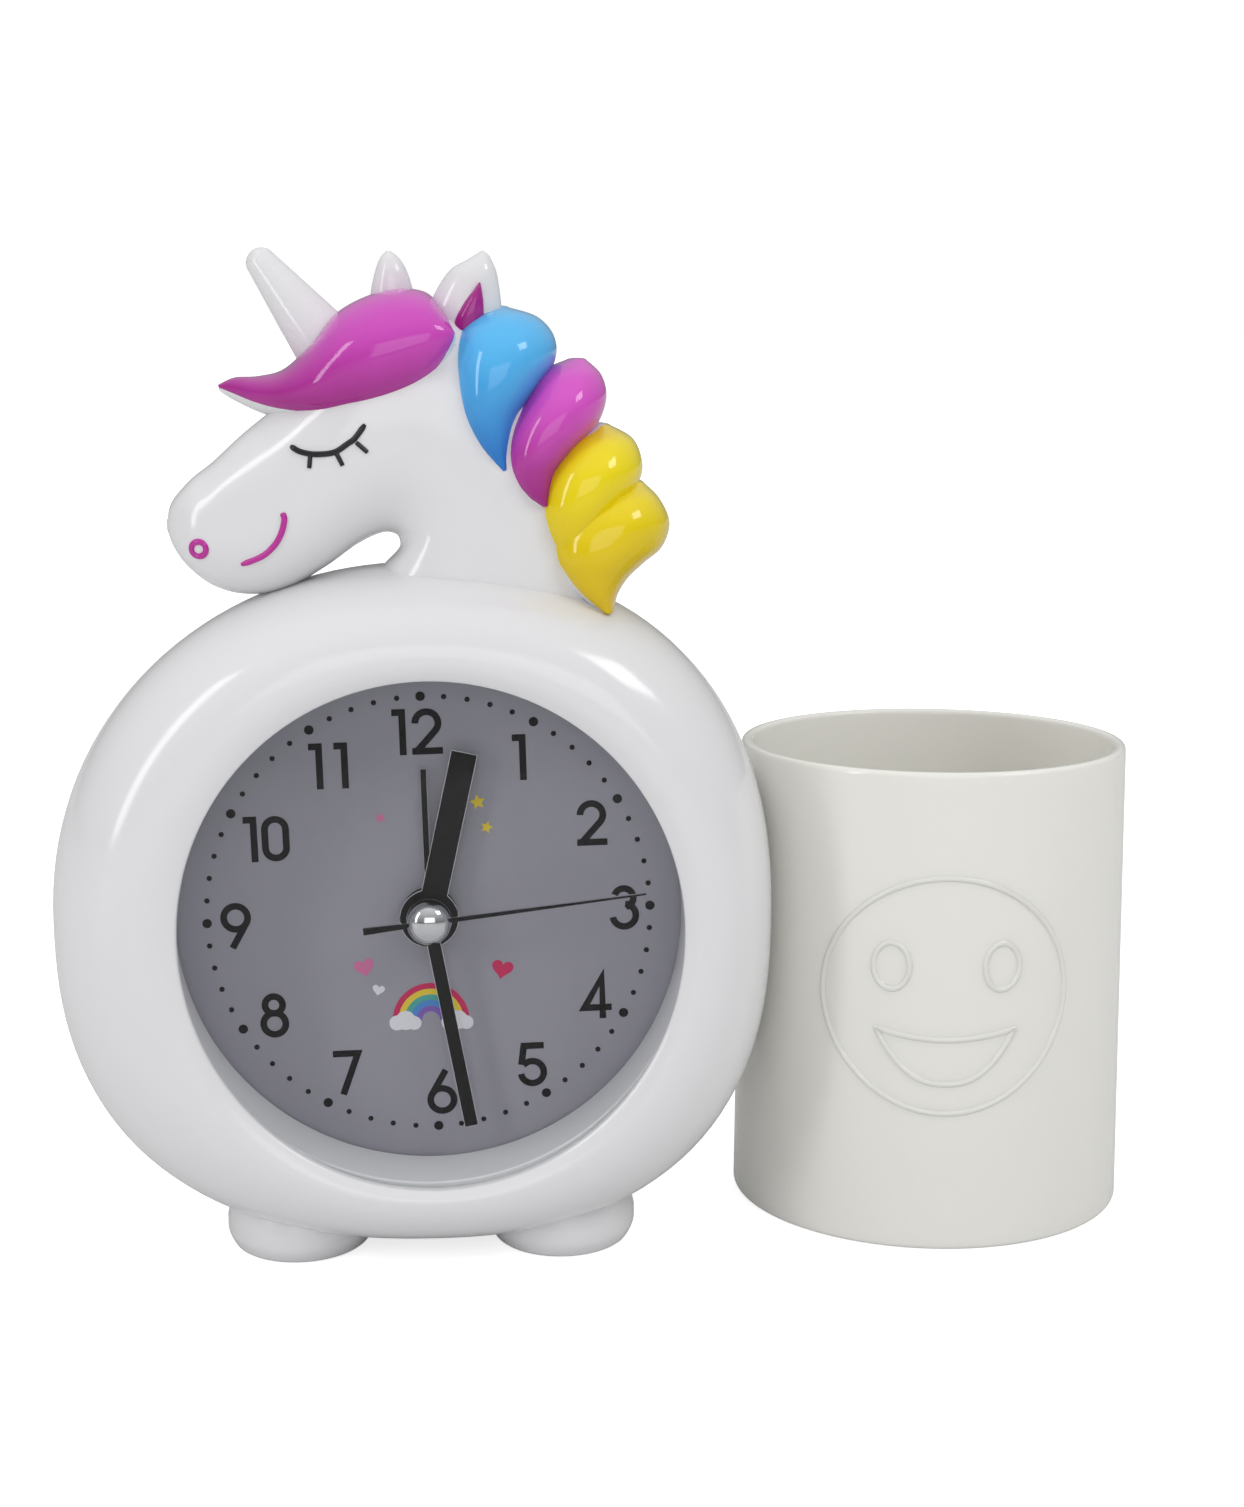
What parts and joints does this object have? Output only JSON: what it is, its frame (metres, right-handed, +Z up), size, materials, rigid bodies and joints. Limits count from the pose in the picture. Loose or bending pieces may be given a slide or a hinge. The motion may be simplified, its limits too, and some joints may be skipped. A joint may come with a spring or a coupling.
{
  "type": "pen holder alarm clock",
  "caption": "Quartz alarm clock in a fat white ring body topped by a unicorn head with coloured mane, with a round pen cup with a raised smiley joined to its side",
  "frame": {"origin": "centre of the footprint's bounding box, on the surface the clock stands on", "axes": "+Z up; the dial faces -Y; +X to the right as the dial is read"},
  "size_m": [0.1784, 0.0732, 0.16],
  "materials": {
    "white_body": "glossy moulded white plastic",
    "milk_cup": "satin milk-white moulded plastic",
    "magenta": "glossy magenta plastic",
    "sky_blue": "glossy sky-blue plastic",
    "yellow": "glossy yellow plastic",
    "clear_lens": "clear polished plastic window",
    "printed_card": "grey-lilac card with black printed numerals",
    "black_hand": "thin aluminium strip, black enamel with bright cut edges",
    "chrome_cap": "bright chromed cap",
    "black_case": "black moulded plastic",
    "gear_white": "natural acetal",
    "steel": "zinc-plated steel",
    "brass": "plain brass",
    "copper": null,
    "board_green": "green circuit board",
    "cell_wrap": null
  },
  "bodies": {
    "clock": {"front_shell": "white_body", "rear_shell": "white_body", "back_cover": "white_body", "head_front": "white_body", "head_rear": "white_body", "horn": "white_body", "far_ear": "white_body", "near_ear": "white_body", "dial_ring": "white_body", "foot_left": "white_body", "foot_right": "white_body", "cup_bracket": "white_body", "pen_cup": "milk_cup", "forelock": "magenta", "pink_lock": "magenta", "ear_lining": "magenta", "blue_lock": "sky_blue", "yellow_lock": "yellow", "lens": "clear_lens", "dial": "printed_card", "movement_front_case": "black_case", "movement_rear_case": "black_case", "switch_body": "black_case", "stator": "steel", "contact_positive": "steel", "contact_negative": "steel", "cup_screw_lower": "steel", "cup_screw_upper": "steel", "shell_screw_1": "steel", "shell_screw_2": "steel", "shell_screw_3": "steel", "shell_screw_4": "steel", "cover_screw_1": "steel", "cover_screw_2": "steel", "cover_screw_3": "steel", "buzzer": "brass", "drive_coil": "copper", "circuit_board": "board_green", "battery_cell": "cell_wrap"},
    "battery_door_body": {"battery_door": "white_body"},
    "alarm_switch_body": {"alarm_switch": "black_case"},
    "seconds": {"second_hand": "black_hand", "second_wheel": "gear_white", "hub_cap": "chrome_cap"},
    "minutes": {"minute_hand": "black_hand", "centre_wheel": "gear_white"},
    "hours": {"hour_hand": "black_hand", "hour_wheel": "gear_white"},
    "third": {"third_wheel": "gear_white"},
    "fifth": {"fifth_wheel": "gear_white"},
    "rotor_body": {"rotor": "steel"},
    "motion": {"motion_wheel": "gear_white"},
    "time_setter": {"time_set_knob": "white_body", "time_set_arbor": "gear_white"},
    "alarm_body": {"alarm_hand": "black_hand", "alarm_wheel": "gear_white"},
    "alarm_setter": {"alarm_set_knob": "white_body", "alarm_set_arbor": "gear_white"}
  },
  "joints": [
    {"name": "battery_door_hinge", "type": "hinge", "parent": "clock", "child": "battery_door_body", "pos_m": [-0.02925, -0.0004, 0.0313], "axis": [-1, 0, 0], "range_deg": [0, 95]},
    {"name": "alarm_switch_slide", "type": "slide", "parent": "clock", "child": "alarm_switch_body", "axis": [1, 0, 0], "range_m": [0, 0.005]},
    {"name": "second_spin", "type": "hinge", "parent": "clock", "child": "seconds", "pos_m": [-0.02925, -0.0198, 0.055], "axis": [0, 1, 0], "continuous": true},
    {"name": "minute_spin", "type": "hinge", "parent": "clock", "child": "minutes", "pos_m": [-0.02925, -0.0198, 0.055], "axis": [0, 1, 0], "continuous": true},
    {"name": "hour_spin", "type": "hinge", "parent": "clock", "child": "hours", "pos_m": [-0.02925, -0.0198, 0.055], "axis": [0, 1, 0], "continuous": true},
    {"name": "third_spin", "type": "hinge", "parent": "clock", "child": "third", "pos_m": [-0.02007, -0.0198, 0.055], "axis": [0, 1, 0], "continuous": true},
    {"name": "fifth_spin", "type": "hinge", "parent": "clock", "child": "fifth", "pos_m": [-0.02198, -0.0198, 0.0592], "axis": [0, 1, 0], "continuous": true},
    {"name": "rotor_spin", "type": "hinge", "parent": "clock", "child": "rotor_body", "pos_m": [-0.01837, -0.0198, 0.06543], "axis": [0, 1, 0], "continuous": true},
    {"name": "motion_spin", "type": "hinge", "parent": "clock", "child": "motion", "pos_m": [-0.03925, -0.0198, 0.055], "axis": [0, 1, 0], "continuous": true},
    {"name": "time_set_spin", "type": "hinge", "parent": "clock", "child": "time_setter", "pos_m": [-0.04425, -0.0198, 0.06366], "axis": [0, 1, 0], "continuous": true},
    {"name": "alarm_spin", "type": "hinge", "parent": "clock", "child": "alarm_body", "pos_m": [-0.02925, -0.0198, 0.055], "axis": [0, 1, 0], "continuous": true},
    {"name": "alarm_set_spin", "type": "hinge", "parent": "clock", "child": "alarm_setter", "pos_m": [-0.02925, -0.0198, 0.065], "axis": [0, 1, 0], "continuous": true}
  ],
  "couplings": [
    {"joint": "minute_spin", "follows": "second_spin", "ratio": 0.016667},
    {"joint": "hour_spin", "follows": "second_spin", "ratio": 0.0013889},
    {"joint": "third_spin", "follows": "second_spin", "ratio": -0.13333},
    {"joint": "fifth_spin", "follows": "second_spin", "ratio": -6},
    {"joint": "rotor_spin", "follows": "second_spin", "ratio": 30},
    {"joint": "motion_spin", "follows": "second_spin", "ratio": -0.0055556},
    {"joint": "time_set_spin", "follows": "second_spin", "ratio": 0.016667},
    {"joint": "alarm_set_spin", "follows": "alarm_spin", "ratio": -4}
  ]
}
